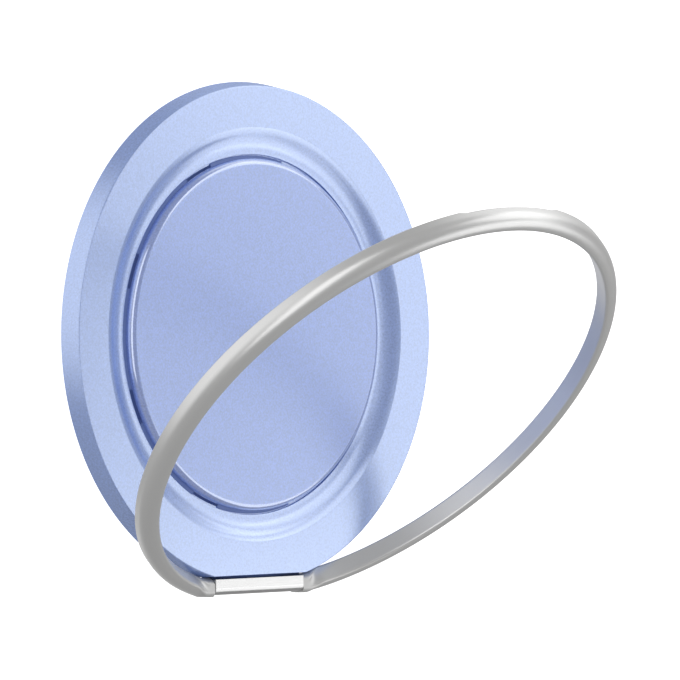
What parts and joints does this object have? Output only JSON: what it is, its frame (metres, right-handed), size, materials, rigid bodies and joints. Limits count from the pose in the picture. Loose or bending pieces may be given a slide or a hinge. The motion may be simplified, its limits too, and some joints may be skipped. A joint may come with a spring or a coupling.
{
  "type": "phone grip",
  "caption": "Round phone grip: a blue anodised bezel turns round a fixed centre cap and carries a silver finger loop that folds out on a pin hinge and serves as a stand.",
  "frame": {"origin": "middle of the back pad's face, which lies on the phone", "axes": "+Z out of the phone, X along the loop's hinge pin, the hinge on the -Y side"},
  "size_m": [0.0622, 0.0577, 0.0448],
  "materials": {
    "blue_anodised": "fine blasted, anodised blue",
    "loop_silver": "satin",
    "barrel_steel": "satin",
    "base_plastic": "moulded, fine texture",
    "pad_silicone": "soft matte",
    "magnet_nickel": "nickel plated",
    "shield_steel": "rolled",
    "washer_plastic": "smooth",
    "tape": "smooth"
  },
  "bodies": {
    "base": {"back_pad": "pad_silicone", "base_plate": "base_plastic", "magnet_segments": "magnet_nickel", "magnet_shield": "shield_steel", "friction_washer": "washer_plastic", "cap_tape": "tape", "centre_cap": "blue_anodised"},
    "frame": {"bezel": "blue_anodised", "hinge_barrel": "barrel_steel", "hinge_washers": "shield_steel"},
    "loop": {"hinge_pin": "shield_steel", "grip_ring": "loop_silver"}
  },
  "joints": [
    {"name": "bezel_swivel", "type": "hinge", "parent": "base", "child": "frame", "pos_m": [0, 0, 0], "axis": [0, 0, 1], "continuous": true},
    {"name": "loop_fold", "type": "hinge", "parent": "frame", "child": "loop", "pos_m": [0, -0.02838, 0.00185], "axis": [1, 0, 0], "range_deg": [-45.64, 134.36]}
  ]
}
